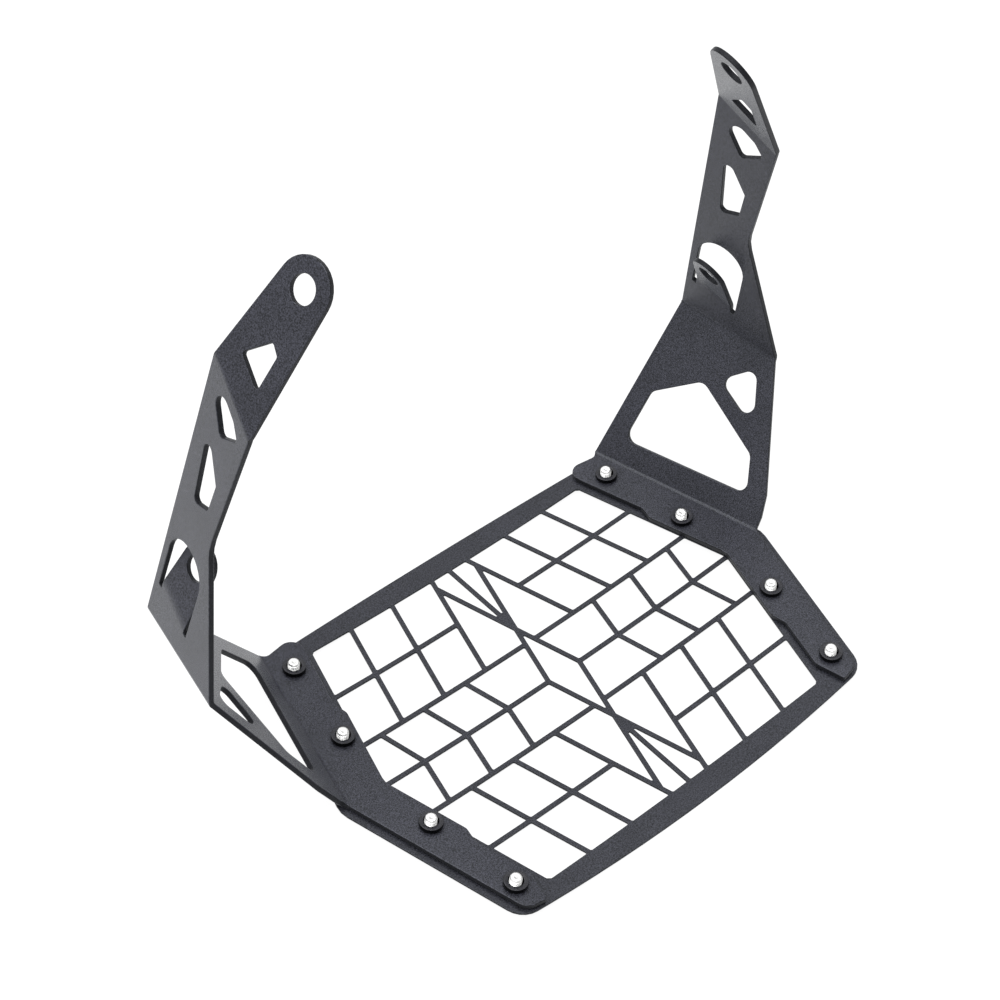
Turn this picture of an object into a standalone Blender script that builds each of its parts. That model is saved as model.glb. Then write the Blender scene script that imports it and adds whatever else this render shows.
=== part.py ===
"""Motorcycle headlight guard: a bowed lattice grille and two folded brackets.

The guard lies on its front, on the heads of its screws: +Z is the side of the
brackets, X runs from the left bracket to the right one, and the origin is
under the middle of the grille. The left bracket mirrors the right one.

The grille is drawn flat and then bowed. A flat point has s, the length along
the bowed sheet, and y. A bracket is drawn flat too and then folded. In its
pattern u runs down the first fold and v runs away from it, over the panels.
"""

import math

import bmesh
import bpy
from mathutils import Matrix, Vector

MM = 0.001
GAP = 0.3

# Grille sheet. The field is the part of it that carries the lattice.
GRILLE_SHEET = 1.0
BOW_RADIUS = 1253.0
RIM_TIP_S = 118.7
RIM_TIP_RADIUS = 12.0
RIM_HALF_HEIGHT = 84.3
RIM_EDGE_RADIUS = 1230.0
RIM_EDGE_STEP = 12.0
RIM_CORNER_RADIUS = 10.0
RIM_CORNER_ROOM = 1.2
LONG_BORDER = 10.9
SIDE_BORDER = 21.9
FIELD_TIP_S = RIM_TIP_S - SIDE_BORDER
FIELD_HALF_HEIGHT = RIM_HALF_HEIGHT - LONG_BORDER
SIDE_LEAN = math.radians(16.05)
INNER_ROW_LEAN = math.radians(13.7)

# Lattice bars
BAR = 2.05
ROW_1_Y = 21.3
ROW_2_Y = 47.96
HUB_S = 8.7
FIRST_BAR_S = 31.1
BAR_PITCH = 22.3
CELL_RADIUS = 0.5
FIELD_CORNER_RADIUS = 1.6

# Bracket sheet and its place on the grille
BRACKET_SHEET = 2.2
FOLD_RADIUS = 2.0
FOLD_STEPS = 6
FLANGE_LIFT = 0.5
FOLD_1_INSET = 23.0
FOLD_1_MARGIN = 2.3
FOLD_1_START = (RIM_TIP_S - FOLD_1_INSET, RIM_HALF_HEIGHT - FOLD_1_MARGIN)
FOLD_1_BEARING = math.radians(13.6)
FOLD_1_ANGLE = math.radians(50.9)
FOLD_2_START = (18.0, 78.5)
FOLD_2_BEARING = math.radians(-7.9)
FOLD_2_ANGLE = math.radians(46.5)
FOLD_3_START = (42.4, 210.7)
FOLD_3_BEARING = math.radians(-34.0)
FOLD_3_ANGLE = math.radians(23.8)

# Flange edges, in the flat coordinates of the grille. The inner edge follows
# the field, closer to it in the middle, where it is wide.
NARROW_SETBACK = 3.2
NARROW_S = FIELD_TIP_S + NARROW_SETBACK
WIDE_OVERHANG = 0.2
WIDE_S = FIELD_TIP_S - WIDE_OVERHANG
STEP_START_Y = 37.0
STEP_END_Y = 44.0
STEP_RADIUS = 3.0
FLANGE_TIP_RADIUS = 8.0
RIM_INSET = 3.2
TOP_NOTCH_SETBACK = 2.4
TOP_NOTCH_MARGIN = 3.5
TOP_NOTCH = (FOLD_1_START[0] - TOP_NOTCH_SETBACK, RIM_HALF_HEIGHT - TOP_NOTCH_MARGIN)
TOP_NOTCH_RADIUS = 3.0
TOP_END_MARGIN = 0.2
TOP_END_Y = RIM_HALF_HEIGHT - TOP_END_MARGIN
TOP_END_RADIUS = 5.5
LOW_END_MARGIN = 16.8
LOW_END_Y = LOW_END_MARGIN - RIM_HALF_HEIGHT
LOW_END_RADIUS = 5.0
LOW_TOE_INSET = 34.9
LOW_TOE_MARGIN = 3.6
LOW_TOE = (RIM_TIP_S - LOW_TOE_INSET, LOW_TOE_MARGIN - RIM_HALF_HEIGHT)
LOW_TOE_RADIUS = 1.0
LOW_HEEL_MARGIN = 5.0
LOW_HEEL_Y = LOW_HEEL_MARGIN - RIM_HALF_HEIGHT
LOW_HEEL_RADIUS = 6.0

# Panel edges, in the bracket pattern
PANEL_TOP_FOOT = (-0.9, 0.0)
PANEL_LOW_FOOT = (83.8, 0.4)
PANEL_LOW_FOOT_RADIUS = 1.0
PANEL_LOW_KNEE = (83.8, 10.9)
PANEL_LOW_KNEE_RADIUS = 30.0
FOLD_2_LOW_END = (62.0, 72.4)
FOLD_2_TOP_END = (11.4, 79.4)
WAIST = (49.5, 136.9)
WAIST_RADIUS = 20.0
FOLD_3_LOW_END = (65.5, 195.2)
FOLD_3_TOP_END = (38.2, 213.5)
PANEL_BLEND_RADIUS = 20.0
EAR_CENTRE = (60.7, 249.5)
EAR_RADIUS = 11.4
BOLT_HOLE = 10.6

# Openings of the panels: corners with their radii, in the bracket pattern
LARGE_WINDOW = [
    (68.2, 29.3, 5.0),
    (73.5, 12.5, 4.0),
    (10.0, 11.0, 5.0),
    (13.8, 36.2, 4.0),
    (35.1, 50.2, 5.0),
]
SMALL_WINDOW = [(65.0, 40.1, 4.0), (41.7, 54.0, 4.0), (56.2, 65.3, 4.0)]
SIDE_SLOT = [
    (48.9, 164.4, 1.5),
    (45.5, 151.2, 1.5),
    (35.9, 148.4, 2.0),
    (40.0, 183.9, 2.6),
]
UPPER_SLOT = [
    (55.0, 196.0, 1.5),
    (58.6, 189.9, 1.5),
    (47.9, 184.8, 2.0),
    (35.7, 210.7, 4.4),
]
EAR_WINDOW = [
    (62.0, 225.0, 1.2),
    (58.2, 228.4, 1.2),
    (48.3, 219.0, 1.2),
    (60.0, 210.8, 1.2),
]

# Tab cut free on three sides and bent inwards in a wide curve. Its own axes
# start at the upper end of its base: the first runs along the base, the second
# up the tab. The opening round it is larger than the tab.
TAB_START = (18.8, 97.8)
TAB_BEARING = math.radians(-22.4)
TAB_BASE = 23.9
TAB_RELIEF = 1.0
TAB_SLIT = 1.9
TAB_ROUND_CENTRE = (6.7, 20.9)
TAB_ROUND_RADIUS = 8.6
TAB_OPENING_CENTRE = (7.7, 22.2)
TAB_OPENING_RADIUS = 11.7
TAB_HOLE_CENTRE = (7.3, 20.3)
TAB_BEND_MIDDLE = (TAB_BASE / 2.0, 2.1)
TAB_BEND_BEARING = math.radians(-27.0)
TAB_BEND_ANGLE = math.radians(20.5)
TAB_BEND_RADIUS = 11.0

# Fasteners, four on each side, set back from the sides of the rim
END_SCREW_INSET = 10.25
END_SCREW_MARGIN = 16.0
END_SCREW_Y = RIM_HALF_HEIGHT - END_SCREW_MARGIN
MIDDLE_SCREW_INSET = 15.0
MIDDLE_SCREW_Y = 27.2
SCREW = 5.0
SCREW_LENGTH = 9.1
SCREW_TIP_BEVEL = 0.7
HEAD = 9.5
HEAD_HEIGHT = 2.75
HEAD_CROWN = 5.0
HEAD_RIM_SHARE = 0.2
HEAD_DOME_SHARES = (0.5, 0.85)
SOCKET = 3.0
SOCKET_DEPTH = 1.6
NUT_COLLAR = 9.8
NUT_COLLAR_HEIGHT = 2.1
NUT_COLLAR_BEVEL = 0.4
NUT_SHANK = 7.6
NUT_SHANK_SHORTFALL = 0.2
NUT_COUNTERSINK = 0.3

# How finely curves are divided, and how close points count as one
ROUND_SIDES = 16
HOLE_SIDES = 32
ARC_STEP = math.radians(15.0)
FINE_ARC_STEP = math.radians(11.25)
CELL_ARC_STEP = math.radians(50.0)
SMOOTH_ANGLE = math.radians(35.0)
CORNER_PASSES = 6
TOUCH = 0.01
MERGE = 0.0005

MATERIALS = {
    "grille_coat": ((0.060, 0.061, 0.066), 0.62, 0.0),
    "bracket_coat": ((0.075, 0.076, 0.082), 0.60, 0.0),
    "screw_steel": ((0.80, 0.80, 0.79), 0.28, 1.0),
    "nut_black": ((0.045, 0.045, 0.050), 0.50, 0.3),
}


# Flat outlines

def round_corner(before, corner, after, radius, step):
    """Points of the arc that rounds one corner, or the corner itself."""
    if radius <= 0.0:
        return [corner]
    into = (before - corner).normalized()
    out = (after - corner).normalized()
    opening = into.angle(out)
    reach = radius / math.tan(opening / 2.0)
    centre = corner + (into + out).normalized() * (radius / math.sin(opening / 2.0))
    start = corner + into * reach - centre
    sweep = start.angle_signed(corner + out * reach - centre)
    count = max(1, round(abs(sweep) / step))
    points = []
    for index in range(count + 1):
        turn = Matrix.Rotation(-sweep * index / count, 2)
        points.append(centre + turn @ start)
    return points


def rounded_outline(corners, step=ARC_STEP):
    """Closed outline through (x, y, radius) corners."""
    places = [Vector(corner[:2]) for corner in corners]
    points = []
    for index, corner in enumerate(corners):
        before = places[index - 1]
        after = places[(index + 1) % len(places)]
        points += round_corner(before, places[index], after, corner[2], step)
    return points


def circle(centre, diameter, sides=HOLE_SIDES):
    points = []
    for index in range(sides):
        angle = 2.0 * math.pi * index / sides
        arm = Vector((math.cos(angle), math.sin(angle))) * diameter / 2.0
        points.append(Vector(centre) + arm)
    return points


def tangent_angle(point, centre, radius, side):
    """Angle on a circle where the line from a point touches it."""
    arm = Vector(point) - Vector(centre)
    heading = math.atan2(arm.y, arm.x)
    return heading + side * math.acos(radius / arm.length)


def arc(centre, radius, start, end, step=FINE_ARC_STEP):
    """Points of an arc from one angle to another, both ends included."""
    count = max(1, math.ceil(abs(end - start) / step))
    points = []
    for index in range(count + 1):
        angle = start + (end - start) * index / count
        arm = Vector((math.cos(angle), math.sin(angle))) * radius
        points.append(Vector(centre) + arm)
    return points


def over_the_top(left, right, centre, radius):
    """Arc that joins tangents from a left and a right point, over the top."""
    start = tangent_angle(left, centre, radius, -1.0)
    end = tangent_angle(right, centre, radius, 1.0)
    while end > start:
        end -= 2.0 * math.pi
    return arc(centre, radius, start, end)


def side_s(foot, y):
    """A line that leans like the sides of the grille, above and below."""
    return foot - math.tan(SIDE_LEAN) * abs(y)


def screw_points():
    """Places of the four screws of one side, from the top end down."""
    end_s = side_s(RIM_TIP_S - END_SCREW_INSET, END_SCREW_Y)
    middle_s = side_s(RIM_TIP_S - MIDDLE_SCREW_INSET, MIDDLE_SCREW_Y)
    return [
        (end_s, END_SCREW_Y),
        (middle_s, MIDDLE_SCREW_Y),
        (middle_s, -MIDDLE_SCREW_Y),
        (end_s, -END_SCREW_Y),
    ]


# Lattice

def cut(polygon, normal, limit):
    """Keep the part of a convex polygon where normal . point <= limit."""
    kept = []
    for index, here in enumerate(polygon):
        there = polygon[(index + 1) % len(polygon)]
        near = normal.dot(here) - limit
        far = normal.dot(there) - limit
        if near <= 0.0:
            kept.append(here)
        if near * far < 0.0:
            kept.append(here.lerp(there, near / (near - far)))
    return kept


def leaning(foot, lean):
    """Line through (foot, 0) that leans from the y axis: normal and level."""
    normal = Vector((math.cos(lean), math.sin(lean)))
    return normal, foot * math.cos(lean)


def bar_feet():
    """Where the leaning bars of one quarter stand, as many as fit."""
    count = round((FIELD_TIP_S - FIRST_BAR_S) / BAR_PITCH)
    return [FIRST_BAR_S + BAR_PITCH * index for index in range(count)]


def opening(left, right, low, high):
    """Cell between two leaning lines and two levels, each with its margin."""
    reach = 2.0 * RIM_TIP_S
    cell = [
        Vector((-reach, low)),
        Vector((reach, low)),
        Vector((reach, high)),
        Vector((-reach, high)),
    ]
    for foot, lean, margin in right:
        normal, level = leaning(foot, lean)
        cell = cut(cell, normal, level - margin)
    for foot, lean, margin in left:
        normal, level = leaning(foot, lean)
        cell = cut(cell, -normal, -level - margin)
    return cell


def quadrant_cells():
    """Openings of the quarter with s and y above zero, without the hub."""
    half = BAR / 2.0
    bars = bar_feet()
    top = FIELD_HALF_HEIGHT
    side = (FIELD_TIP_S, SIDE_LEAN, 0.0)
    hub = (HUB_S, SIDE_LEAN, half)
    fan = (-HUB_S, -SIDE_LEAN, half)
    cells = []
    inner_left = [hub] + [(foot, -INNER_ROW_LEAN, half) for foot in bars]
    inner_right = [(foot, -INNER_ROW_LEAN, half) for foot in bars] + [side]
    for left, right in zip(inner_left, inner_right):
        cells.append(opening([left], [right], half, ROW_1_Y - half))
    outer = [(foot, SIDE_LEAN, half) for foot in bars]
    cells.append(opening([hub, fan], [outer[0]], ROW_1_Y + half, top))
    fan_right = [fan, outer[0]]
    cells.append(opening([(0.0, 0.0, half)], fan_right, ROW_1_Y + half, top))
    for left, right in zip(outer, outer[1:] + [side]):
        cells.append(opening([left], [right], ROW_1_Y + half, ROW_2_Y - half))
        cells.append(opening([left], [right], ROW_2_Y + half, top))
    return cells


def cell_outline(cell, flip_s, flip_y):
    """One opening with its corners rounded, turned into its quarter."""
    corners = []
    for point in cell:
        on_side = abs(side_s(FIELD_TIP_S, point.y) - point.x) < TOUCH
        on_top = abs(point.y - FIELD_HALF_HEIGHT) < TOUCH
        radius = FIELD_CORNER_RADIUS if on_side and on_top else CELL_RADIUS
        corners.append((point.x * flip_s, point.y * flip_y, radius))
    return rounded_outline(corners, CELL_ARC_STEP)


def hub_outline():
    """The long diamond in the middle of the lattice."""
    lean = Vector((math.cos(SIDE_LEAN), math.sin(SIDE_LEAN)))
    level = HUB_S * lean.x - BAR / 2.0
    across = level / lean.x
    along = level / lean.y
    corners = [
        (across, 0.0, CELL_RADIUS),
        (0.0, along, CELL_RADIUS),
        (-across, 0.0, CELL_RADIUS),
        (0.0, -along, CELL_RADIUS),
    ]
    return rounded_outline(corners, CELL_ARC_STEP)


def rim_edge_y(s):
    """Height of the rim's long edge, a very flat arc."""
    drop = RIM_EDGE_RADIUS - math.sqrt(RIM_EDGE_RADIUS ** 2 - s ** 2)
    return RIM_HALF_HEIGHT - drop


def rim_corner():
    """Where the long edge of the rim meets its leaning side."""
    s = RIM_TIP_S
    for _ in range(CORNER_PASSES):
        s = side_s(RIM_TIP_S, rim_edge_y(s))
    return s, rim_edge_y(s)


def rim_outline():
    corner_s, corner_y = rim_corner()
    reach = corner_s - RIM_CORNER_ROOM * RIM_CORNER_RADIUS
    count = round(2.0 * reach / RIM_EDGE_STEP)
    edge = []
    for index in range(count + 1):
        s = reach - 2.0 * reach * index / count
        edge.append((s, rim_edge_y(s), 0.0))
    upper = [(corner_s, corner_y, RIM_CORNER_RADIUS)] + edge
    upper.append((-corner_s, corner_y, RIM_CORNER_RADIUS))
    upper.append((-RIM_TIP_S, 0.0, RIM_TIP_RADIUS))
    lower = [(-s, -y, radius) for s, y, radius in upper]
    return rounded_outline(upper + lower, ARC_STEP)


def grille_openings():
    holes = [hub_outline()]
    for cell in quadrant_cells():
        for flip_s in (1.0, -1.0):
            for flip_y in (1.0, -1.0):
                holes.append(cell_outline(cell, flip_s, flip_y))
    for s, y in screw_points():
        holes.append(circle((s, y), SCREW + 2.0 * GAP))
        holes.append(circle((-s, y), SCREW + 2.0 * GAP))
    return holes


# Bracket pattern

def flange_to_pattern(s, y):
    """From the grille's flat coordinates to the bracket pattern."""
    away = Vector((s, y)) - Vector(FOLD_1_START)
    down = Vector((math.sin(FOLD_1_BEARING), -math.cos(FOLD_1_BEARING)))
    out = Vector((math.cos(FOLD_1_BEARING), math.sin(FOLD_1_BEARING)))
    return away.dot(down), away.dot(out)


def flange_corners():
    """Corners of the flange, from its top end to its low outer edge."""
    free_edge = RIM_TIP_S - RIM_INSET
    corners = [
        TOP_NOTCH + (TOP_NOTCH_RADIUS,),
        (side_s(NARROW_S, TOP_END_Y), TOP_END_Y, TOP_END_RADIUS),
        (side_s(NARROW_S, STEP_END_Y), STEP_END_Y, STEP_RADIUS),
        (side_s(WIDE_S, STEP_START_Y), STEP_START_Y, STEP_RADIUS),
        (WIDE_S, 0.0, FLANGE_TIP_RADIUS),
        (side_s(WIDE_S, STEP_START_Y), -STEP_START_Y, STEP_RADIUS),
        (side_s(NARROW_S, STEP_END_Y), -STEP_END_Y, STEP_RADIUS),
        (side_s(NARROW_S, LOW_END_Y), LOW_END_Y, LOW_END_RADIUS),
        LOW_TOE + (LOW_TOE_RADIUS,),
        (side_s(free_edge, LOW_HEEL_Y), LOW_HEEL_Y, LOW_HEEL_RADIUS),
    ]
    return [flange_to_pattern(s, y) + (radius,) for s, y, radius in corners]


def ear_corners():
    points = over_the_top(FOLD_3_TOP_END, FOLD_3_LOW_END, EAR_CENTRE, EAR_RADIUS)
    return [(point.x, point.y, 0.0) for point in reversed(points)]


def bracket_outline():
    corners = [PANEL_TOP_FOOT + (0.0,)]
    corners += flange_corners()
    corners += [
        PANEL_LOW_FOOT + (PANEL_LOW_FOOT_RADIUS,),
        PANEL_LOW_KNEE + (PANEL_LOW_KNEE_RADIUS,),
        FOLD_2_LOW_END + (PANEL_BLEND_RADIUS,),
        WAIST + (WAIST_RADIUS,),
        FOLD_3_LOW_END + (PANEL_BLEND_RADIUS,),
    ]
    corners += ear_corners()
    corners.append(FOLD_3_TOP_END + (PANEL_BLEND_RADIUS,))
    corners.append(FOLD_2_TOP_END + (0.0,))
    return rounded_outline(corners)


def tab_axes():
    along = Vector((math.cos(TAB_BEARING), math.sin(TAB_BEARING)))
    up = Vector((-along.y, along.x))
    return along, up


def tab_to_pattern(point):
    along, up = tab_axes()
    return Vector(TAB_START) + along * point[0] + up * point[1]


def arched_path(inset, centre, radius):
    """Side, round top and side over the base of the tab, with an inset base."""
    left = (inset, -TAB_RELIEF)
    right = (TAB_BASE - inset, -TAB_RELIEF)
    top = over_the_top(left, right, centre, radius)
    return [Vector(left)] + top + [Vector(right)]


def tab_slit():
    """The cut round the tab, from the wide opening to the tab's own edge."""
    path = arched_path(0.0, TAB_OPENING_CENTRE, TAB_OPENING_RADIUS)
    path += reversed(arched_path(TAB_SLIT, TAB_ROUND_CENTRE, TAB_ROUND_RADIUS))
    return [tab_to_pattern(point) for point in path]


def bracket_openings():
    windows = (LARGE_WINDOW, SMALL_WINDOW, SIDE_SLOT, UPPER_SLOT, EAR_WINDOW)
    holes = [rounded_outline(window) for window in windows]
    holes.append(circle(EAR_CENTRE, BOLT_HOLE))
    holes.append(tab_slit())
    holes.append(circle(tab_to_pattern(TAB_HOLE_CENTRE), BOLT_HOLE))
    for s, y in screw_points():
        holes.append(circle(flange_to_pattern(s, y), NUT_SHANK + 2.0 * GAP))
    return holes


# Folding

class Fold:
    """A straight fold of the flat pattern, towards +w."""

    def __init__(self, start, bearing, angle, radius=FOLD_RADIUS):
        self.start = Vector((start[0], start[1], 0.0))
        self.along = Vector((math.cos(bearing), math.sin(bearing), 0.0))
        self.out = Vector((-self.along.y, self.along.x, 0.0))
        self.angle = angle
        self.radius = radius
        self.reach = radius * math.tan(angle / 2.0)

    def offset(self, flat):
        return (flat - self.start).dot(self.out)

    def bend(self, flat, place):
        """Move a point of the sheet, given where it lies in the pattern."""
        distance = self.offset(flat)
        if distance <= -self.reach:
            return place
        if distance >= self.reach:
            turn = Matrix.Rotation(self.angle, 3, self.along)
            return self.start + turn @ (place - self.start)
        share = (distance + self.reach) / (2.0 * self.reach)
        turn = share * self.angle
        arm = self.radius - flat.z
        foot = place - self.out * distance
        foot.z = 0.0
        shift = -self.reach + arm * math.sin(turn)
        rise = self.radius - arm * math.cos(turn)
        return foot + self.out * shift + Vector((0.0, 0.0, rise))


def panel_folds():
    """The folds across the whole sheet, the last one first."""
    return [
        Fold(FOLD_3_START, FOLD_3_BEARING, FOLD_3_ANGLE),
        Fold(FOLD_2_START, FOLD_2_BEARING, FOLD_2_ANGLE),
        Fold((0.0, 0.0), 0.0, FOLD_1_ANGLE),
    ]


def tab_bend():
    middle = tab_to_pattern(TAB_BEND_MIDDLE)
    return Fold(middle, TAB_BEND_BEARING, TAB_BEND_ANGLE, TAB_BEND_RADIUS)


def on_tab(flat):
    """True for a point inside the cut that frees the tab."""
    along, up = tab_axes()
    away = flat.to_2d() - Vector(TAB_START)
    here = Vector((away.dot(along), away.dot(up)))
    half = TAB_SLIT / 2.0
    path = arched_path(half, TAB_OPENING_CENTRE, TAB_OPENING_RADIUS - half)
    inside = True
    for index, corner in enumerate(path):
        after = path[(index + 1) % len(path)]
        edge = after - corner
        if edge.x * (here.y - corner.y) - edge.y * (here.x - corner.x) > 0.0:
            inside = False
    return inside


def folded(flat):
    """Place of a flat point once the whole bracket is folded."""
    place = flat.copy()
    if on_tab(flat):
        place = tab_bend().bend(flat, place)
    for fold in panel_folds():
        place = fold.bend(flat, place)
    return place


# Places on the grille

def bowed(s, y, height):
    """Point of the bowed grille, by its height over the upper face."""
    angle = s / BOW_RADIUS
    arm = BOW_RADIUS - height
    return Vector((arm * math.sin(angle), y, BOW_RADIUS - arm * math.cos(angle)))


def flange_touch_s():
    """Where the flat flange lies parallel to the bowed grille."""
    places = screw_points()
    return sum(s for s, y in places) / len(places)


def flange_matrix():
    """Frame of the flange's upper face, in the grille's flat coordinates."""
    touch = flange_touch_s()
    tilt = touch / BOW_RADIUS
    turn = Matrix.Rotation(-tilt, 4, "Y")
    place = bowed(touch, 0.0, FLANGE_LIFT + BRACKET_SHEET)
    return Matrix.Translation(place) @ turn @ Matrix.Translation((-touch, 0.0, 0.0))


def pattern_matrix():
    """Frame of the folded bracket: u, v and w to the guard's own axes."""
    down = Vector((math.sin(FOLD_1_BEARING), -math.cos(FOLD_1_BEARING), 0.0))
    out = Vector((math.cos(FOLD_1_BEARING), math.sin(FOLD_1_BEARING), 0.0))
    turn = Matrix((down, out, Vector((0.0, 0.0, 1.0)))).transposed().to_4x4()
    start = Matrix.Translation((FOLD_1_START[0], FOLD_1_START[1], 0.0))
    return flange_matrix() @ start @ turn


def rest_height():
    """Height of the grille's middle when the guard lies on its screw heads."""
    drop = -GRILLE_SHEET
    for s, y in screw_points():
        for reach in (-HEAD_CROWN / 2.0, HEAD_CROWN / 2.0):
            low = screw_matrix(s, y, 1.0) @ Vector((reach, 0.0, head_bottom()))
            drop = min(drop, low.z)
    return -drop


def to_guard(point):
    """From millimetres over the grille's middle to metres over the floor."""
    return Vector((point.x, point.y, point.z + rest_height())) * MM


# Meshes

def plate_mesh(outline, holes, cuts):
    """Flat sheet with holes, split along cuts, as a bmesh at height zero."""
    mesh = bmesh.new()
    for loop in [outline] + holes:
        verts = [mesh.verts.new((point.x, point.y, 0.0)) for point in loop]
        for index, vert in enumerate(verts):
            mesh.edges.new((vert, verts[(index + 1) % len(verts)]))
    bmesh.ops.triangle_fill(mesh, edges=mesh.edges[:], use_beauty=True)
    for point, normal in cuts:
        geometry = mesh.verts[:] + mesh.edges[:] + mesh.faces[:]
        bmesh.ops.bisect_plane(mesh, geom=geometry, plane_co=point, plane_no=normal)
    bmesh.ops.recalc_face_normals(mesh, faces=mesh.faces[:])
    if mesh.faces and sum(face.normal.z for face in mesh.faces) < 0.0:
        bmesh.ops.reverse_faces(mesh, faces=mesh.faces[:])
    return mesh


def face_outwards(mesh):
    """Turn the faces of a closed body so that its volume is positive."""
    bmesh.ops.recalc_face_normals(mesh, faces=mesh.faces[:])
    if mesh.calc_volume(signed=True) < 0.0:
        bmesh.ops.reverse_faces(mesh, faces=mesh.faces[:])


def thicken(mesh, thickness):
    """Give a flat sheet its thickness, downwards from height zero."""
    made = bmesh.ops.extrude_face_region(mesh, geom=mesh.faces[:], use_keep_orig=True)
    new = [item for item in made["geom"] if isinstance(item, bmesh.types.BMVert)]
    bmesh.ops.translate(mesh, verts=new, vec=(0.0, 0.0, -thickness))


def make_material(name):
    colour, roughness, metallic = MATERIALS[name]
    material = bpy.data.materials.new(name)
    material.use_nodes = True
    shader = material.node_tree.nodes["Principled BSDF"]
    shader.inputs["Base Color"].default_value = colour + (1.0,)
    shader.inputs["Roughness"].default_value = roughness
    shader.inputs["Metallic"].default_value = metallic
    material.diffuse_color = colour + (1.0,)
    return material


def link_object(name, mesh, material):
    """Turn a bmesh in metres into an object with smooth round faces."""
    data = bpy.data.meshes.new(name)
    mesh.to_mesh(data)
    mesh.free()
    data.shade_smooth()
    data.set_sharp_from_angle(angle=SMOOTH_ANGLE)
    data.materials.append(material)
    part = bpy.data.objects.new(name, data)
    bpy.context.collection.objects.link(part)
    return part


def build_grille(material):
    mesh = plate_mesh(rim_outline(), grille_openings(), [])
    thicken(mesh, GRILLE_SHEET)
    for vert in mesh.verts:
        point = bowed(vert.co.x, vert.co.y, vert.co.z)
        vert.co = to_guard(point)
    face_outwards(mesh)
    return link_object("grille_plate", mesh, material)


def fold_cuts(fold):
    """Lines across one fold, so that it bends in several steps."""
    cuts = []
    for index in range(FOLD_STEPS + 1):
        share = 2.0 * index / FOLD_STEPS - 1.0
        cuts.append((fold.start + fold.out * fold.reach * share, fold.out))
    return cuts


def build_bracket(name, side, material):
    cuts = []
    for fold in panel_folds() + [tab_bend()]:
        cuts += fold_cuts(fold)
    mesh = plate_mesh(bracket_outline(), bracket_openings(), cuts)
    thicken(mesh, BRACKET_SHEET)
    frame = pattern_matrix()
    for vert in mesh.verts:
        point = frame @ folded(vert.co)
        point.x *= side
        vert.co = to_guard(point)
    face_outwards(mesh)
    return link_object(name, mesh, material)


# Fasteners

def screw_matrix(s, y, side):
    """Frame of one screw: +Z out of the flange, origin on its upper face."""
    frame = flange_matrix() @ Matrix.Translation((s, y, 0.0))
    if side < 0.0:
        flip = Matrix.Scale(-1.0, 4, Vector((1.0, 0.0, 0.0)))
        frame = flip @ frame @ flip
    return frame


def head_top():
    """Under the grille, a gap away from its lower face."""
    return -(BRACKET_SHEET + FLANGE_LIFT + GRILLE_SHEET + GAP)


def head_bottom():
    return head_top() - HEAD_HEIGHT


def spin_profile(profile, sides=ROUND_SIDES):
    """Turn a closed or axis-to-axis profile of (radius, height) round Z."""
    mesh = bmesh.new()
    verts = [mesh.verts.new((radius, 0.0, height)) for radius, height in profile]
    edges = []
    for first, second in zip(verts, verts[1:]):
        edges.append(mesh.edges.new((first, second)))
    bmesh.ops.spin(
        mesh,
        geom=verts + edges,
        cent=(0.0, 0.0, 0.0),
        axis=(0.0, 0.0, 1.0),
        angle=2.0 * math.pi,
        steps=sides,
        use_merge=True,
    )
    bmesh.ops.remove_doubles(mesh, verts=mesh.verts[:], dist=MERGE)
    face_outwards(mesh)
    return mesh


def screw_profile():
    """Button head below, thread above, from the head's rim to the tip."""
    shank = SCREW / 2.0
    top = head_top()
    tip = top + SCREW_LENGTH
    rim = top - HEAD_RIM_SHARE * HEAD_HEIGHT
    profile = [(0.0, tip), (shank - SCREW_TIP_BEVEL, tip)]
    profile += [(shank, tip - SCREW_TIP_BEVEL), (shank, top)]
    profile += [(HEAD / 2.0, top), (HEAD / 2.0, rim)]
    for share in HEAD_DOME_SHARES:
        height = rim + (head_bottom() - rim) * share
        radius = HEAD / 2.0 - (HEAD - HEAD_CROWN) / 2.0 * share ** 2
        profile.append((radius, height))
    profile += [(HEAD_CROWN / 2.0, head_bottom()), (0.0, head_bottom())]
    return profile


def build_screw(name, s, y, side, material):
    mesh = spin_profile(screw_profile())
    bmesh.ops.scale(mesh, vec=(MM, MM, MM), verts=mesh.verts[:])
    part = link_object(name, mesh, material)
    part.matrix_world = metric(screw_matrix(s, y, side))
    add_socket(part, name)
    return part


def metric(frame):
    """The same frame with its place in metres over the floor."""
    placed = frame.copy()
    placed.translation = to_guard(frame.translation)
    return placed


def add_socket(part, name):
    """Cut the six-sided socket with a Boolean."""
    width = SOCKET / math.cos(math.pi / 6.0)
    mesh = bmesh.new()
    bmesh.ops.create_cone(
        mesh,
        cap_ends=True,
        segments=6,
        radius1=width / 2.0 * MM,
        radius2=width / 2.0 * MM,
        depth=2.0 * SOCKET_DEPTH * MM,
    )
    bmesh.ops.translate(mesh, verts=mesh.verts[:], vec=(0.0, 0.0, head_bottom() * MM))
    data = bpy.data.meshes.new(name + "_socket")
    mesh.to_mesh(data)
    mesh.free()
    cutter = bpy.data.objects.new(name + "_socket", data)
    bpy.context.collection.objects.link(cutter)
    cutter.matrix_world = part.matrix_world
    cutter.hide_render = True
    cutter.display_type = "WIRE"
    cut_step = part.modifiers.new("socket", "BOOLEAN")
    cut_step.operation = "DIFFERENCE"
    cut_step.solver = "EXACT"
    cut_step.object = cutter


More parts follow.
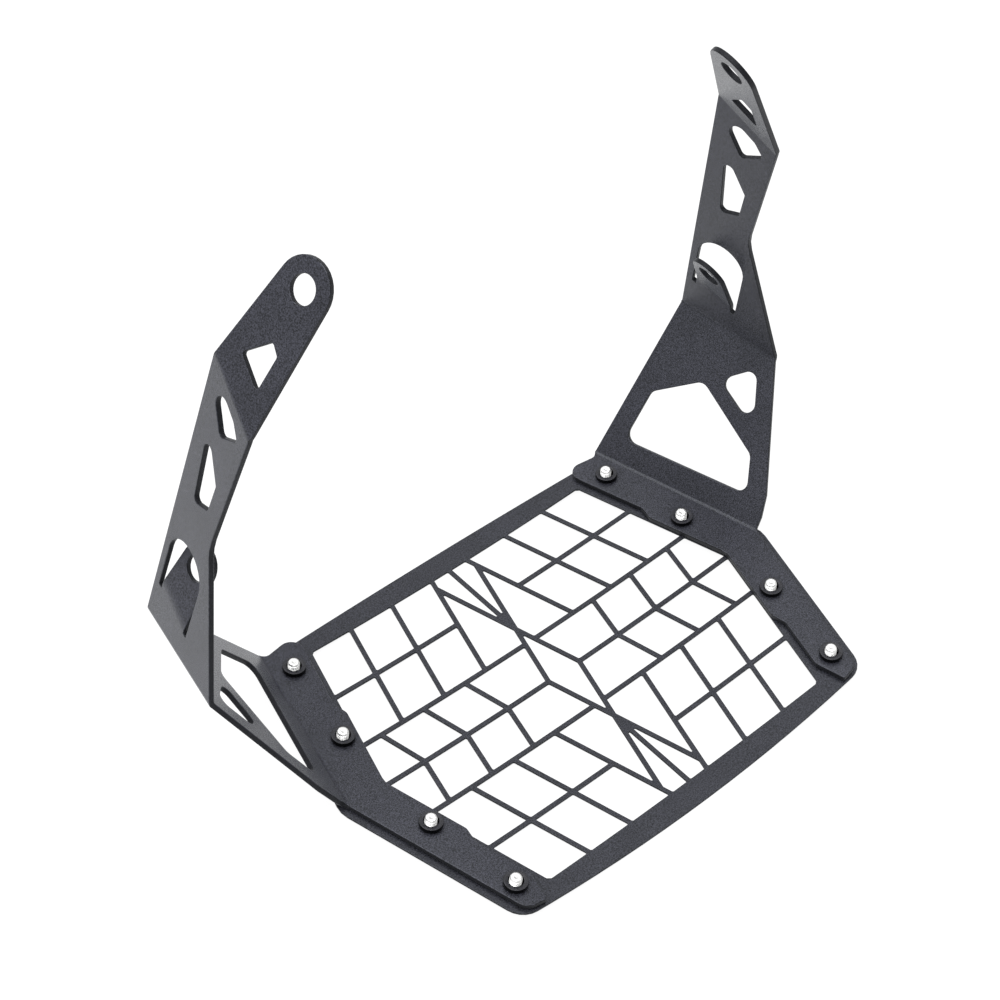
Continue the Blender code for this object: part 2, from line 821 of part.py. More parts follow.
def nut_profile():
    """Collar over the flange and shank inside its hole, as a closed ring."""
    bore = SCREW / 2.0 + GAP
    collar = NUT_COLLAR / 2.0
    shank = NUT_SHANK / 2.0
    low = -(BRACKET_SHEET - NUT_SHANK_SHORTFALL)
    top = GAP + NUT_COLLAR_HEIGHT
    ring = [
        (bore, low),
        (bore, top - NUT_COUNTERSINK),
        (bore + NUT_COUNTERSINK, top),
        (collar - NUT_COLLAR_BEVEL, top),
        (collar, top - NUT_COLLAR_BEVEL),
        (collar, GAP),
        (shank, GAP),
        (shank, low),
    ]
    return ring + ring[:1]


def build_nut(name, s, y, side, material):
    mesh = spin_profile(nut_profile())
    bmesh.ops.scale(mesh, vec=(MM, MM, MM), verts=mesh.verts[:])
    part = link_object(name, mesh, material)
    part.matrix_world = metric(screw_matrix(s, y, side))
    return part


def build_fasteners(side_name, side, screw_material, nut_material):
    for index, (s, y) in enumerate(screw_points(), start=1):
        build_screw(f"screw_{side_name}_{index}", s, y, side, screw_material)
        build_nut(f"press_nut_{side_name}_{index}", s, y, side, nut_material)


def main():
    for old in list(bpy.data.objects):
        bpy.data.objects.remove(old, do_unlink=True)
    grille_coat = make_material("grille_coat")
    bracket_coat = make_material("bracket_coat")
    screw_steel = make_material("screw_steel")
    nut_black = make_material("nut_black")
    build_grille(grille_coat)
    build_bracket("bracket_right", 1.0, bracket_coat)
    build_bracket("bracket_left", -1.0, bracket_coat)
    build_fasteners("right", 1.0, screw_steel, nut_black)
    build_fasteners("left", -1.0, screw_steel, nut_black)


main()
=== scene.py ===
# %% [markdown]
# Motorcycle headlight guard.
# The guard is a laser-cut grille of thin sheet metal between two folded
# brackets. Eight screws with black press nuts hold the three sheets together,
# and everything but the screws has a dark, finely textured powder coat. This
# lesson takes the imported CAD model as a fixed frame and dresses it: the folded
# sheets get soft, painted edges, the fasteners are modelled again with real
# threads, and each finish gets its own node material.

import math

import bmesh
import bpy
from mathutils import Matrix, Vector


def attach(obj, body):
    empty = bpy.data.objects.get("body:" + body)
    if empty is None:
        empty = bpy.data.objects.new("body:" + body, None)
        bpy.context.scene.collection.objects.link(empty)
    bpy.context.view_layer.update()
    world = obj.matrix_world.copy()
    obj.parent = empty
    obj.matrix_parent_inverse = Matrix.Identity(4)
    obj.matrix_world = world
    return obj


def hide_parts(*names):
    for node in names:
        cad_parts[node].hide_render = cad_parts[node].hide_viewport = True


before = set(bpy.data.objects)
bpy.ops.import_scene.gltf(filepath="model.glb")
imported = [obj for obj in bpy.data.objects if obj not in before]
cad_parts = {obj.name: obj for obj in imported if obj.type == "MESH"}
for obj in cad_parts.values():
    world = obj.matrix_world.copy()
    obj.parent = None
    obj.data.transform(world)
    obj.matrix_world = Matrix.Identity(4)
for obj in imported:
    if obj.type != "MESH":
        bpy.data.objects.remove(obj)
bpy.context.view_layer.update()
MM = 0.001

# %% [markdown]
# The camera comes first, because every later choice is judged through it. The
# guard was photographed from above its left near corner with a long lens, so
# parallel edges stay almost parallel. An empty at the aim point would do as
# well, but a quaternion that tracks the aim and a small roll say the same in
# two lines and leave nothing else in the scene.

# %% Camera at the angle of the photograph
CAMERA_PLACE = Vector((-0.4041, -0.3810, 0.6643))
CAMERA_AIM = Vector((0.0465, 0.0929, -0.0006))
CAMERA_ROLL = math.radians(2.93)
LENS = 74.45
SENSOR = 36.0
NEAR_CLIP = 0.01


def add_camera():
    camera = bpy.data.objects.new("camera", bpy.data.cameras.new("camera"))
    bpy.context.collection.objects.link(camera)
    camera.data.lens = LENS
    camera.data.sensor_width = SENSOR
    camera.data.sensor_fit = "HORIZONTAL"
    camera.data.clip_start = NEAR_CLIP
    look = (CAMERA_AIM - CAMERA_PLACE).to_track_quat("-Z", "Y").to_matrix().to_4x4()
    roll = Matrix.Rotation(CAMERA_ROLL, 4, "Z")
    camera.matrix_world = Matrix.Translation(CAMERA_PLACE) @ look @ roll
    bpy.context.scene.camera = camera
    return camera


camera = add_camera()
print("camera looks along", tuple(round(v, 4) for v in -camera.matrix_world.col[2].xyz))
print("camera right is", tuple(round(v, 4) for v in camera.matrix_world.col[0].xyz))

# %% [markdown]
# A small helper keeps the material code readable. Every finish is a node tree
# on Object coordinates, so that a pattern is measured in metres and stays put
# when the camera moves. The noise nodes give values round 0.5 that seldom leave
# 0.3 to 0.7, so a helper stretches that range over the one that is wanted.

# %% Helpers for node materials
NOISE_LOW = 0.3
NOISE_HIGH = 0.7
COOL_GREEN = 1.02
COOL_BLUE = 1.32


def new_material(name):
    material = bpy.data.materials.new(name)
    material.use_nodes = True
    tree = material.node_tree
    shader = tree.nodes["Principled BSDF"]
    coordinates = tree.nodes.new("ShaderNodeTexCoord")
    return material, tree, shader, coordinates.outputs["Object"]


def add_noise(tree, coordinates, size, detail=2.0, roughness=0.5):
    """Noise whose spots are about size metres across."""
    noise = tree.nodes.new("ShaderNodeTexNoise")
    noise.inputs["Scale"].default_value = 1.0 / size
    noise.inputs["Detail"].default_value = detail
    noise.inputs["Roughness"].default_value = roughness
    tree.links.new(coordinates, noise.inputs["Vector"])
    return noise.outputs["Fac"]


def add_ramp(tree, factor, stops):
    ramp = tree.nodes.new("ShaderNodeValToRGB")
    ramp.color_ramp.elements[0].position = stops[0][0]
    ramp.color_ramp.elements[0].color = stops[0][1]
    ramp.color_ramp.elements[1].position = stops[-1][0]
    ramp.color_ramp.elements[1].color = stops[-1][1]
    for position, colour in stops[1:-1]:
        ramp.color_ramp.elements.new(position).color = colour
    tree.links.new(factor, ramp.inputs["Fac"])
    return ramp.outputs["Color"]


def add_bump(tree, height, strength, distance, below=None):
    bump = tree.nodes.new("ShaderNodeBump")
    bump.inputs["Strength"].default_value = strength
    bump.inputs["Distance"].default_value = distance
    tree.links.new(height, bump.inputs["Height"])
    if below is not None:
        tree.links.new(below, bump.inputs["Normal"])
    return bump.outputs["Normal"]


def add_range(tree, value, low, high):
    """Stretches a noise over a range, such as of roughness."""
    stretch = tree.nodes.new("ShaderNodeMapRange")
    stretch.inputs["From Min"].default_value = NOISE_LOW
    stretch.inputs["From Max"].default_value = NOISE_HIGH
    stretch.inputs["To Min"].default_value = low
    stretch.inputs["To Max"].default_value = high
    tree.links.new(value, stretch.inputs["Value"])
    return stretch.outputs["Result"]


def grey(level):
    """A dark neutral with the faint blue of the coat."""
    return (level, level * COOL_GREEN, level * COOL_BLUE, 1.0)


# %% [markdown]
# The powder coat is a baked, slightly gritty paint. Up close it is a dense
# field of soft grains less than a millimetre across, a little lighter on top
# and darker between, with a semi-matt gloss. An image texture could show this,
# but noise needs no unwrapping and has no seams. Three noises make it: one for
# the grain, which drives colour, gloss and bump together so that they agree, a
# finer one that only roughens the bump, and a broad one for the faint clouds of
# an uneven spray. The cut edges of the sheets get a darker coat that reflects
# less: this is painted shade for the narrow walls that face away from the light.

# %% Powder coat
GRAIN = 0.55 * MM
GRAIN_SPAN = (0.37, 0.63)
GRAIN_BUMP = 0.7
GRAIN_HEIGHT = 0.10 * MM
FINE_GRAIN = 0.28 * MM
FINE_BUMP = 0.5
FINE_HEIGHT = 0.04 * MM
CLOUD = 24.0 * MM
CLOUD_SPAN = (0.35, 0.65)
CLOUD_DEPTH = 0.10
GLOSS_SPREAD = 0.08
COAT_IOR = 1.5
COAT_REFLECTION = 0.34
SHEEN = 0.14
SHEEN_ROUGHNESS = 0.40
COOL_TINT = (0.90, 0.94, 1.0, 1.0)


def multiply_colours(tree, first, second):
    mix = tree.nodes.new("ShaderNodeMix")
    mix.data_type = "RGBA"
    mix.blend_type = "MULTIPLY"
    mix.inputs["Factor"].default_value = 1.0
    tree.links.new(first, mix.inputs["A"])
    tree.links.new(second, mix.inputs["B"])
    return mix.outputs["Result"]


def powder_coat(name, dark, light, roughness, reflection=COAT_REFLECTION, sheen=SHEEN):
    material, tree, shader, coordinates = new_material(name)
    grain = add_noise(tree, coordinates, GRAIN, detail=3.0, roughness=0.65)
    fine = add_noise(tree, coordinates, FINE_GRAIN, detail=1.0)
    cloud = add_noise(tree, coordinates, CLOUD, detail=2.0)
    between, on_top = GRAIN_SPAN
    speckle = add_ramp(tree, grain, [(between, grey(dark)), (on_top, grey(light))])
    thin = (1.0 - CLOUD_DEPTH,) * 3 + (1.0,)
    thick = (1.0 + CLOUD_DEPTH,) * 3 + (1.0,)
    shade = add_ramp(tree, cloud, [(CLOUD_SPAN[0], thin), (CLOUD_SPAN[1], thick)])
    tree.links.new(multiply_colours(tree, speckle, shade), shader.inputs["Base Color"])
    gloss = add_range(tree, grain, roughness + GLOSS_SPREAD, roughness - GLOSS_SPREAD)
    tree.links.new(gloss, shader.inputs["Roughness"])
    broad = add_bump(tree, grain, GRAIN_BUMP, GRAIN_HEIGHT)
    bumps = add_bump(tree, fine, FINE_BUMP, FINE_HEIGHT, broad)
    tree.links.new(bumps, shader.inputs["Normal"])
    shader.inputs["IOR"].default_value = COAT_IOR
    shader.inputs["Specular IOR Level"].default_value = reflection
    shader.inputs["Specular Tint"].default_value = COOL_TINT
    shader.inputs["Sheen Weight"].default_value = sheen
    shader.inputs["Sheen Roughness"].default_value = SHEEN_ROUGHNESS
    shader.inputs["Sheen Tint"].default_value = COOL_TINT
    return material


grille_coat = powder_coat("grille_coat", dark=0.003, light=0.038, roughness=0.34)
bracket_coat = powder_coat("bracket_coat", dark=0.004, light=0.050, roughness=0.28)
# Darker coat with less reflection for the cut edges: painted shade on the narrow walls that
# face away from the light.
edge_painted_shade_coat = powder_coat(
    "edge_painted_shade_coat", dark=0.002, light=0.010, roughness=0.50, reflection=0.20, sheen=0.12
)
print("powder coats:", grille_coat.name, bracket_coat.name, edge_painted_shade_coat.name)

# %% [markdown]
# A laser leaves square edges, and the coat flows over them, so every edge of
# the real sheets is a small soft round that catches the light as a thin line.
# The CAD sheets have knife edges. Rounding the picture of an edge in the shader
# would be quick, but the outline would stay sharp. So each sheet is a merged
# copy of its CAD mesh with its edges bevelled. Where two faces meet at a steep
# angle an edge is sharp: the mesh falls into regions between the sharp edges,
# the two largest regions are the faces of the sheet, and the rest is the cut
# edge, which gets a darker coat as painted shade, since these narrow walls face
# away from the light.

# %% Split a sheet into its two faces and its cut edge
MERGE = 0.002 * MM
STEEP = math.radians(50.0)


def merged_copy(node_name):
    mesh = bmesh.new()
    mesh.from_mesh(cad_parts[node_name].data)
    bmesh.ops.remove_doubles(mesh, verts=mesh.verts[:], dist=MERGE)
    return mesh


def regions_between_steep_edges(mesh):
    """Groups of faces that meet gently, the largest group first."""
    waiting = set(mesh.faces)
    regions = []
    for seed in mesh.faces:
        if seed not in waiting:
            continue
        waiting.discard(seed)
        region = [seed]
        for face in region:
            for edge in face.edges:
                if edge.calc_face_angle(0.0) > STEEP:
                    continue
                for neighbour in edge.link_faces:
                    if neighbour in waiting:
                        waiting.discard(neighbour)
                        region.append(neighbour)
        regions.append(region)
    regions.sort(key=lambda faces: sum(face.calc_area() for face in faces), reverse=True)
    return regions


sample = merged_copy("grille_plate")
print("grille regions:", len(regions_between_steep_edges(sample)))
sample.free()

# %% [markdown]
# Only the lines between a face and the cut edge are bevelled, on both sides of
# the sheet, and the folds keep their form. A Bevel modifier could pick its
# edges by angle, but it would round the upright corners of the windows too. The
# brackets get the wider round, and the thin grille a narrow one.

# %% Soften the edges of the three sheets
BRACKET_EDGE_ROUND = 0.38 * MM
GRILLE_EDGE_ROUND = 0.20 * MM
EDGE_SEGMENTS = 3
SIDES = ("left", "right")


def soften_sheet(node_name, name, edge_round, coat):
    mesh = merged_copy(node_name)
    regions = regions_between_steep_edges(mesh)
    faces = set(regions[0] + regions[1])
    # The faces keep the sheet's coat; the cut edge takes the darker coat of painted shade.
    for face in mesh.faces:
        face.material_index = 0 if face in faces else 1
    borders = []
    for edge in mesh.edges:
        if sum(face in faces for face in edge.link_faces) == 1:
            borders.append(edge)
    bmesh.ops.bevel(
        mesh,
        geom=borders,
        offset=edge_round,
        offset_type="OFFSET",
        segments=EDGE_SEGMENTS,
        profile=0.5,
        affect="EDGES",
        loop_slide=False,
        material=-1,
    )
    sheet = finish_piece(mesh, name, [coat, edge_painted_shade_coat])
    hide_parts(node_name)
    return sheet


def finish_piece(mesh, name, materials):
    """Link a bmesh as a smooth piece that rides on the guard."""
    data = bpy.data.meshes.new(name)
    mesh.to_mesh(data)
    mesh.free()
    data.shade_smooth()
    data.set_sharp_from_angle(angle=STEEP)
    for material in materials:
        data.materials.append(material)
    piece = bpy.data.objects.new(name, data)
    bpy.context.collection.objects.link(piece)
    even = piece.modifiers.new("even normals", "WEIGHTED_NORMAL")
    even.keep_sharp = True
    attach(piece, "root")
    return piece


grille = soften_sheet(
    "grille_plate", "grille_sheet", GRILLE_EDGE_ROUND, grille_coat
)
print("grille faces:", len(grille.data.polygons))
for side in SIDES:
    bracket = soften_sheet(
        f"bracket_{side}",
        f"bracket_sheet_{side}",
        BRACKET_EDGE_ROUND,
        bracket_coat,
    )
    print(bracket.name, "faces:", len(bracket.data.polygons))

# %% [markdown]
# The fasteners stand on the flange, a little tilted, because the flange lies on
# the bowed grille. Their place is read from the CAD pieces: the flat end of a
# round piece is the set of its highest faces, the normal there is the axis, and
# the middle of those faces is on it.

# %% Where each fastener stands
FLAT_END = 0.05 * MM


def flat_end(node_name):
    """Frame at the flat upper end of a round CAD piece, +Z out of it."""
    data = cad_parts[node_name].data
    highest = max(data.polygons, key=lambda face: face.center.z)
    axis = highest.normal.copy()
    level = highest.center.dot(axis)
    corners = []
    for face in data.polygons:
        if abs(face.center.dot(axis) - level) < FLAT_END:
            corners += [data.vertices[index].co for index in face.vertices]
    middle = sum(corners, Vector()) / len(corners)
    turn = Vector((0.0, 0.0, 1.0)).rotation_difference(axis)
    return Matrix.Translation(middle) @ turn.to_matrix().to_4x4()


for side in SIDES:
    place = flat_end(f"screw_{side}_1").translation
    print(f"screw_{side}_1 ends at", [round(v / MM, 1) for v in place])

# %% [markdown]
# A screw's thread is a ridge that winds round the shank: an M5 thread climbs
# 0.8 mm each turn. It could be faked with stacked rings, but rings don't climb.
# Here one tooth, drawn as four short edges, is spun round the axis and lifted
# a little at each step. The top of one turn then meets the bottom of the next,
# and merging the doubles closes the seam. Two cuts square off the ends, and the
# shank runs a little way into the head. The fasteners are drawn in millimetres.

# %% Wind the thread
SCREW = 5.0
ROOT = 4.1
PITCH = 0.8
CREST_WIDTH = 0.12
ROOT_WIDTH = 0.20
TURN_STEPS = 40
SPARE_TURNS = 2
SCREW_LENGTH = 9.1
SEAT_OVERLAP = 0.4
JOIN = 0.002


def spin_round(mesh, turns, steps, climb=0.0, merge=False):
    """Spin all that the mesh holds round Z, climbing by climb each turn."""
    bmesh.ops.spin(
        mesh,
        geom=mesh.verts[:] + mesh.edges[:],
        cent=(0.0, 0.0, 0.0),
        axis=(0.0, 0.0, 1.0),
        dvec=(0.0, 0.0, climb / steps),
        angle=2.0 * math.pi * turns,
        steps=steps * turns,
        use_merge=merge,
    )


def add_path(mesh, points):
    """A line through (radius, height) points, in the XZ plane."""
    verts = [mesh.verts.new((radius, 0.0, height)) for radius, height in points]
    for first, second in zip(verts, verts[1:]):
        mesh.edges.new((first, second))


def trim(mesh, height, upwards):
    """Cut off what lies above or below a height, and close the cut."""
    made = bmesh.ops.bisect_plane(
        mesh,
        geom=mesh.verts[:] + mesh.edges[:] + mesh.faces[:],
        plane_co=(0.0, 0.0, height),
        plane_no=(0.0, 0.0, 1.0),
        clear_outer=upwards,
        clear_inner=not upwards,
    )
    rim = [item for item in made["geom_cut"] if isinstance(item, bmesh.types.BMEdge)]
    bmesh.ops.edgeloop_fill(mesh, edges=rim)


def threaded_shank():
    """A closed thread, with its tip at height zero."""
    mesh = bmesh.new()
    turns = math.ceil((SCREW_LENGTH + SEAT_OVERLAP) / PITCH) + SPARE_TURNS
    start = PITCH * (1.0 - turns)
    slope = (PITCH - CREST_WIDTH - ROOT_WIDTH) / 2.0
    tooth = [
        (ROOT / 2.0, start),
        (ROOT / 2.0, start + ROOT_WIDTH),
        (SCREW / 2.0, start + ROOT_WIDTH + slope),
        (SCREW / 2.0, start + ROOT_WIDTH + slope + CREST_WIDTH),
        (ROOT / 2.0, start + PITCH),
    ]
    add_path(mesh, tooth)
    spin_round(mesh, turns, TURN_STEPS, PITCH)
    bmesh.ops.remove_doubles(mesh, verts=mesh.verts[:], dist=JOIN)
    trim(mesh, 0.0, True)
    trim(mesh, -SCREW_LENGTH - SEAT_OVERLAP, False)
    return mesh


sample = threaded_shank()
print("thread faces:", len(sample.faces))
print("open edges:", sum(edge.is_boundary for edge in sample.edges))
sample.free()

# %% [markdown]
# The tip of a rolled screw tapers, so that it finds the nut, and its end keeps
# a small hollow from the lathe. Moving points does the taper: no point near the
# tip may lie further out than a rounded cone, so the ridge runs out as the real
# one does. A few level cuts first give the cone points to bend at. An inset of
# the end face, pushed in, is the hollow.

# %% Taper and dimple the tip
TIP_CONE = [(0.0, 1.80), (0.10, 2.03), (0.30, 2.18), (1.05, 2.5)]
DIMPLE_RADIUS = 0.8
DIMPLE_LIP = 0.04
DIMPLE_FLOOR_RADIUS = 0.32
DIMPLE_DEPTH = 0.3
FIRST_INSET = 0.01


def cone_radius(depth):
    """Largest radius allowed at a depth below the end of the screw."""
    for (near, small), (far, large) in zip(TIP_CONE, TIP_CONE[1:]):
        if depth <= far:
            return small + (large - small) * (depth - near) / (far - near)
    return SCREW / 2.0


def taper_tip(mesh):
    for depth, _ in TIP_CONE[1:]:
        geometry = mesh.verts[:] + mesh.edges[:] + mesh.faces[:]
        cut = (0.0, 0.0, -depth)
        bmesh.ops.bisect_plane(mesh, geom=geometry, plane_co=cut, plane_no=(0.0, 0.0, 1.0))
    for vert in mesh.verts:
        limit = cone_radius(max(0.0, -vert.co.z))
        radius = vert.co.xy.length
        if radius > limit:
            vert.co.xy *= limit / radius


def press_dimple(mesh):
    end = max(mesh.faces, key=lambda face: face.calc_center_median().z)
    steps = [(DIMPLE_RADIUS, DIMPLE_LIP), (DIMPLE_FLOOR_RADIUS, DIMPLE_DEPTH)]
    for radius, sink in steps:
        bmesh.ops.inset_region(mesh, faces=[end], thickness=FIRST_INSET)
        for vert in end.verts:
            vert.co.xy *= radius / vert.co.xy.length
            vert.co.z = -sink


# %% [markdown]
# The head under the grille isn't in the photograph. A flat button head with a
# six-sided socket is what such a guard usually has. Its outside is a spun line.
# The socket is a six-sided ring, bridged to the round rim of the crown, and
# then pushed in, which needs no Boolean.

# %% Button head with its socket
HEAD = 9.5
HEAD_HEIGHT = 2.75
HEAD_CROWN = 5.0
HEAD_RIM = 0.55
HEAD_BREAK = 0.2
HEAD_SIDES = 48
SOCKET = 3.0
SOCKET_SIDES = 6
SOCKET_DEPTH = 1.6
DOME_STEPS = 6


def head_path():
    """From the middle of the seat, over the rim, to the edge of the crown."""
    seat = -SCREW_LENGTH
    rim = HEAD / 2.0
    points = [(0.0, seat), (rim - HEAD_BREAK, seat), (rim, seat - HEAD_BREAK)]
    for index in range(DOME_STEPS + 1):
        share = index / DOME_STEPS
        radius = rim - (HEAD - HEAD_CROWN) / 2.0 * share ** 2
        height = seat - HEAD_RIM - (HEAD_HEIGHT - HEAD_RIM) * share
        points.append((radius, height))
    return points


def loop_edges(mesh, verts):
    """Edges whose two ends are both among the given points."""
    wanted = set(verts)
    return [edge for edge in mesh.edges if set(edge.verts) <= wanted]


def button_head():
    mesh = bmesh.new()
    add_path(mesh, head_path())
    spin_round(mesh, 1, HEAD_SIDES, merge=True)
    bmesh.ops.remove_doubles(mesh, verts=mesh.verts[:], dist=JOIN)
    crown = [edge for edge in mesh.edges if edge.is_boundary]
    bottom = -SCREW_LENGTH - HEAD_HEIGHT
    corner = SOCKET / 2.0 / math.cos(math.pi / SOCKET_SIDES)
    ring = bmesh.ops.create_circle(mesh, segments=SOCKET_SIDES, radius=corner)["verts"]
    bmesh.ops.translate(mesh, verts=ring, vec=(0.0, 0.0, bottom))
    bmesh.ops.subdivide_edges(
        mesh, edges=loop_edges(mesh, ring), cuts=HEAD_SIDES // SOCKET_SIDES - 1
    )
    socket = [edge for edge in mesh.edges if not edge.link_faces]
    bmesh.ops.bridge_loops(mesh, edges=crown + socket)
    walls = bmesh.ops.extrude_edge_only(mesh, edges=socket)
    lowered = [item for item in walls["geom"] if isinstance(item, bmesh.types.BMVert)]
    bmesh.ops.translate(mesh, verts=lowered, vec=(0.0, 0.0, SOCKET_DEPTH))
    bmesh.ops.edgeloop_fill(mesh, edges=loop_edges(mesh, lowered))
    bmesh.ops.recalc_face_normals(mesh, faces=mesh.faces[:])
    return mesh


sample = button_head()
print("head faces:", len(sample.faces))
sample.free()

# %% [markdown]
# A real screw is headed and rolled from one wire. Here its thread and its head
# are two closed shells in one mesh, which overlap a little inside the head. A
# Boolean could join them, but nobody sees that place. They are drawn at the
# origin, scaled from millimetres to metres, and then moved to their place.

# %% Put the screws together
def place_piece(mesh, where):
    """From millimetres at the origin to metres at its place on the guard."""
    bmesh.ops.recalc_face_normals(mesh, faces=mesh.faces[:])
    bmesh.ops.scale(mesh, vec=(MM, MM, MM), verts=mesh.verts[:])
    bmesh.ops.transform(mesh, matrix=where, verts=mesh.verts[:])


def add_mesh(target, other):
    """Copy all of one bmesh into another."""
    holder = bpy.data.meshes.new("holder")
    other.to_mesh(holder)
    other.free()
    target.from_mesh(holder)
    bpy.data.meshes.remove(holder)


def make_screw(node_name, name, steel):
    mesh = threaded_shank()
    taper_tip(mesh)
    press_dimple(mesh)
    add_mesh(mesh, button_head())
    place_piece(mesh, flat_end(node_name))
    screw = finish_piece(mesh, name, [steel])
    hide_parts(node_name)
    return screw


# %% [markdown]
# The screws are bright zinc-plated steel, and the press nuts are black. Plating
# shows as a fine mottle of lighter and duller spots. A single flat colour would
# look like plastic, so one noise drives both colour and gloss, and a finer one
# scratches the surface. The nuts get two blacks: the top of the collar is a
# little dull, and its wall is smooth, darker and almost without reflection. The
# smoothness is real; the darker colour and the missing reflection are painted
# shade, because the wall faces away from the light.

# %% Screw steel and nut black
STEEL_BLOTCH = 1.1 * MM
STEEL_SPAN = (0.32, 0.62)
STEEL_DULL = (0.80, 0.80, 0.79, 1.0)
STEEL_BRIGHT = (0.97, 0.97, 0.96, 1.0)
STEEL_ROUGH = 0.50
STEEL_SMOOTH = 0.34
SCRATCH = 0.25 * MM
SCRATCH_BUMP = 0.3
SCRATCH_DEPTH = 0.012 * MM
BLACK_BLOTCH = 0.7 * MM
BLACK_SPAN = (0.32, 0.68)
BLACK_GLOSS_SPREAD = 0.07
BLACK_BUMP = 0.5
BLACK_HEIGHT = 0.03 * MM


def bright_steel():
    material, tree, shader, coordinates = new_material("screw_steel")
    shader.inputs["Metallic"].default_value = 1.0
    blotch = add_noise(tree, coordinates, STEEL_BLOTCH, detail=3.0)
    tint = [(STEEL_SPAN[0], STEEL_DULL), (STEEL_SPAN[1], STEEL_BRIGHT)]
    tree.links.new(add_ramp(tree, blotch, tint), shader.inputs["Base Color"])
    gloss = add_range(tree, blotch, STEEL_ROUGH, STEEL_SMOOTH)
    tree.links.new(gloss, shader.inputs["Roughness"])
    scratch = add_noise(tree, coordinates, SCRATCH, detail=2.0)
    scratches = add_bump(tree, scratch, SCRATCH_BUMP, SCRATCH_DEPTH)
    tree.links.new(scratches, shader.inputs["Normal"])
    return material


def black_finish(name, dark, light, roughness, reflection):
    material, tree, shader, coordinates = new_material(name)
    blotch = add_noise(tree, coordinates, BLACK_BLOTCH, detail=3.0)
    tint = [(BLACK_SPAN[0], grey(dark)), (BLACK_SPAN[1], grey(light))]
    tree.links.new(add_ramp(tree, blotch, tint), shader.inputs["Base Color"])
    rough = roughness + BLACK_GLOSS_SPREAD
    smooth = roughness - BLACK_GLOSS_SPREAD
    tree.links.new(add_range(tree, blotch, rough, smooth), shader.inputs["Roughness"])
    bumps = add_bump(tree, blotch, BLACK_BUMP, BLACK_HEIGHT)
    tree.links.new(bumps, shader.inputs["Normal"])
    shader.inputs["Specular IOR Level"].default_value = reflection
    return material


screw_steel = bright_steel()
nut_black = black_finish(
    "nut_black", dark=0.006, light=0.026, roughness=0.38, reflection=0.36
)
# The wall black is painted shade: darker and almost without reflection, because the wall
# faces away from the light.
nut_wall_painted_shade = black_finish("nut_wall_painted_shade", dark=0.001, light=0.004, roughness=0.18, reflection=0.05)
print("fastener finishes:", screw_steel.name, nut_black.name, nut_wall_painted_shade.name)

# %% [markdown]
# The eight screws are one shape in eight places. They could share one mesh, but
# each stands for a CAD piece of its own and has its place in its mesh, so each
# is made anew.

# %% Make the eight screws
NUMBERS = range(1, 5)

for side in SIDES:
    for number in NUMBERS:
        ending = f"{side}_{number}"
        screw = make_screw(f"screw_{ending}", f"threaded_screw_{ending}", screw_steel)
print("last screw faces:", len(screw.data.polygons))

# %% [markdown]
# A press nut is turned from bar: a round collar that stands on the flange, and
# a shank that is pressed into the hole. One closed line holds every step of its
# section, with the soft outer rounds that catch a glint, and one spin makes the
# ring. The bore keeps clear of the thread.

# %% Press nuts
NUT_COLLAR = 9.8
NUT_COLLAR_HEIGHT = 2.1
NUT_ROUND = 0.22
NUT_ROUND_STEPS = 4
LEVEL_FACE = 0.8
NUT_SHANK = 7.6
NUT_SHANK_LENGTH = 2.0
NUT_BORE = 5.6
NUT_COUNTERSINK = 0.35
NUT_FOOT_GROOVE = 0.25
NUT_SIDES = 64


def quarter_round(centre, radius, start):
    """Points of a quarter circle from an angle, turning clockwise."""
    points = []
    for index in range(NUT_ROUND_STEPS + 1):
        angle = start - math.pi / 2.0 * index / NUT_ROUND_STEPS
        across = centre[0] + radius * math.cos(angle)
        points.append((across, centre[1] + radius * math.sin(angle)))
    return points


def nut_section():
    """Closed line of the ring, with the top of the collar at height zero."""
    bore = NUT_BORE / 2.0
    collar = NUT_COLLAR / 2.0
    shank = NUT_SHANK / 2.0
    foot = -NUT_COLLAR_HEIGHT
    low = foot - NUT_SHANK_LENGTH
    line = [(bore, low), (bore, -NUT_COUNTERSINK), (bore + NUT_COUNTERSINK, 0.0)]
    line += quarter_round((collar - NUT_ROUND, -NUT_ROUND), NUT_ROUND, math.pi / 2.0)
    line += [(collar, foot + NUT_FOOT_GROOVE), (collar - NUT_FOOT_GROOVE, foot)]
    line += [(shank, foot), (shank, low + NUT_FOOT_GROOVE), (shank - NUT_FOOT_GROOVE, low)]
    return line + line[:1]


def make_nut(node_name, name):
    mesh = bmesh.new()
    add_path(mesh, nut_section())
    bmesh.ops.remove_doubles(mesh, verts=mesh.verts[:], dist=JOIN)
    spin_round(mesh, 1, NUT_SIDES, merge=True)
    bmesh.ops.remove_doubles(mesh, verts=mesh.verts[:], dist=JOIN)
    bmesh.ops.recalc_face_normals(mesh, faces=mesh.faces[:])
    # Faces that look up take the collar black; the walls and the underside take the black of
    # painted shade.
    for face in mesh.faces:
        face.material_index = 0 if face.normal.z > LEVEL_FACE else 1
    place_piece(mesh, flat_end(node_name))
    nut = finish_piece(mesh, name, [nut_black, nut_wall_painted_shade])
    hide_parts(node_name)
    return nut


for side in SIDES:
    for number in NUMBERS:
        ending = f"{side}_{number}"
        nut = make_nut(f"press_nut_{ending}", f"turned_nut_{ending}")
print("last nut faces:", len(nut.data.polygons))

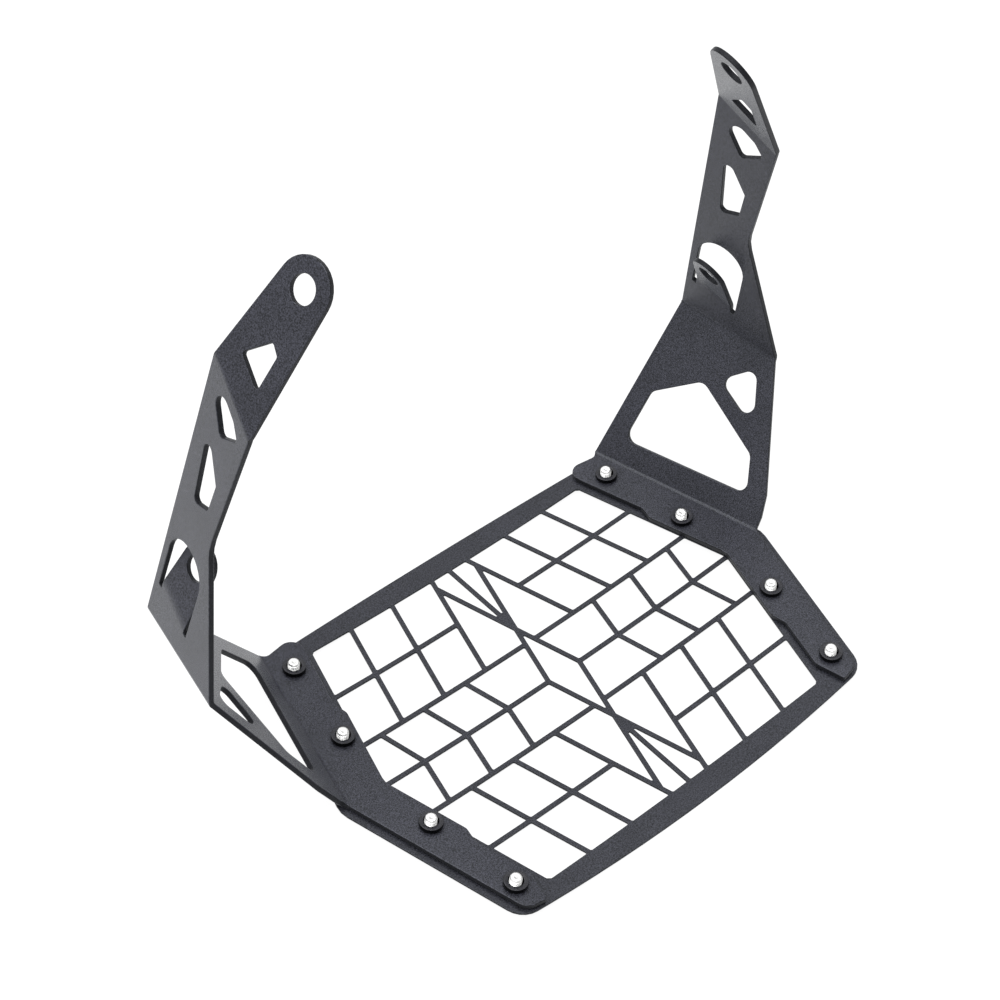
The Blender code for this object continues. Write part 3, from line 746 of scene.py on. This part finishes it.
# %% [markdown]
# The set is a plain pale floor under one large soft panel, with a weak fill
# from the left and a pale surround, as in a product photograph. The shadows of
# the photograph are almost gone, as on a light table, where the floor glows
# faintly from below. A brighter lamp would wash them out too, but it would
# also lift the dark undersides, so the floor gets a little light of its own.

# %% Floor and light
FLOOR_HALF = 4.0
FLOOR_GLOW = 0.93
FLOOR_PAINT = 0.12
FLOOR_ROUGHNESS = 0.9
FLOOR_REFLECTION = 0.1
WHITE = (1.0, 1.0, 1.0, 1.0)
OVERHEAD = {"place": (-0.2, 0.42, 2.4), "size": 3.0, "power": 76.0}
LEFT_FILL = {"place": (-1.5, -0.3, 1.6), "size": 1.4, "power": 12.0}
SURROUND = 0.58


def add_floor():
    mesh = bmesh.new()
    bmesh.ops.create_grid(mesh, x_segments=1, y_segments=1, size=FLOOR_HALF)
    data = bpy.data.meshes.new("floor")
    mesh.to_mesh(data)
    mesh.free()
    floor = bpy.data.objects.new("floor", data)
    bpy.context.collection.objects.link(floor)
    material, _, shader, _ = new_material("floor_paper")
    shader.inputs["Base Color"].default_value = (FLOOR_PAINT,) * 3 + (1.0,)
    shader.inputs["Emission Color"].default_value = WHITE
    shader.inputs["Emission Strength"].default_value = FLOOR_GLOW
    shader.inputs["Roughness"].default_value = FLOOR_ROUGHNESS
    shader.inputs["Specular IOR Level"].default_value = FLOOR_REFLECTION
    floor.data.materials.append(material)
    return floor


def add_panel_light(name, place, size, power):
    light = bpy.data.lights.new(name, "AREA")
    light.shape = "SQUARE"
    light.size = size
    light.energy = power
    panel = bpy.data.objects.new(name, light)
    bpy.context.collection.objects.link(panel)
    panel.location = place
    panel.rotation_euler = (-Vector(place)).to_track_quat("-Z", "Y").to_euler()
    return panel


def light_the_world(strength):
    world = bpy.data.worlds.new("surround")
    bpy.context.scene.world = world
    world.use_nodes = True
    background = world.node_tree.nodes["Background"]
    background.inputs["Color"].default_value = WHITE
    background.inputs["Strength"].default_value = strength


floor = add_floor()
add_panel_light("overhead", **OVERHEAD)
add_panel_light("left_fill", **LEFT_FILL)
light_the_world(SURROUND)
bpy.context.scene.view_settings.view_transform = "Standard"
print("floor and lights are in place")
